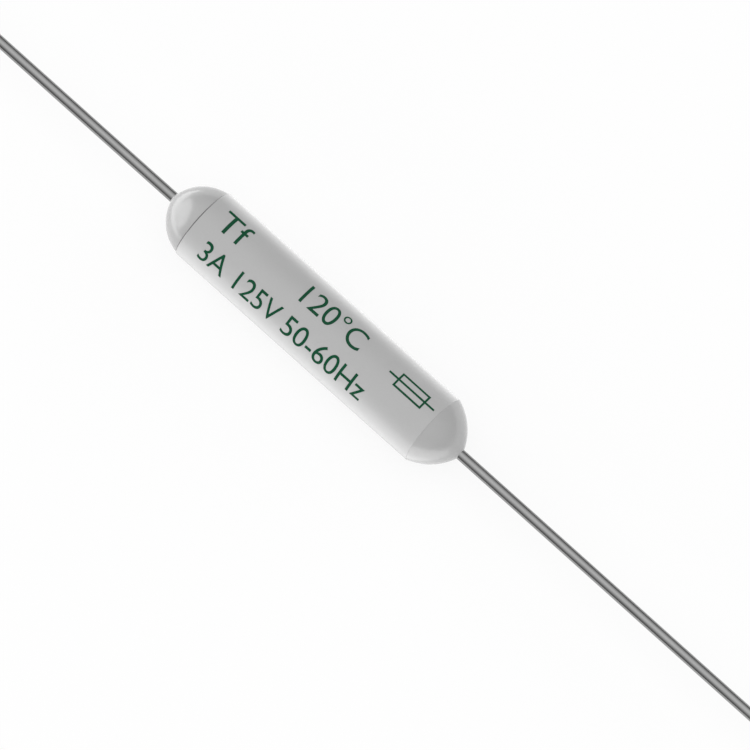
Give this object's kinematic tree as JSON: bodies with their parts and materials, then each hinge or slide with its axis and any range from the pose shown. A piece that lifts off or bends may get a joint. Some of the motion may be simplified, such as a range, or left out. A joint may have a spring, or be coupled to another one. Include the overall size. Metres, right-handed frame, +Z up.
{
  "type": "thermal fuse",
  "caption": "Axial thermal fuse: a slim ceramic tube shut by domed resin seals, with straight tinned wire leads and a low-melting alloy link inside that opens the circuit when it overheats.",
  "frame": {"origin": "on the fuse's axis, midway between the leads' cut ends and midway along the ceramic tube", "axes": "+X along the axis to the end whose dome is lower, +Z up through the side that faces the viewer when the fuse lies flat, +Y across"},
  "size_m": [0.064, 0.0028, 0.0028],
  "materials": {
    "ceramic": "satin",
    "resin": "satin",
    "tinned_copper": "satin",
    "fusible_alloy": "satin",
    "rosin_flux": "gloss"
  },
  "bodies": {
    "root": {"ceramic_tube": "ceramic", "left_seal": "resin", "right_seal": "resin", "left_lead": "tinned_copper", "right_lead": "tinned_copper", "fusible_alloy": "fusible_alloy", "flux_coating": "rosin_flux"}
  },
  "joints": []
}
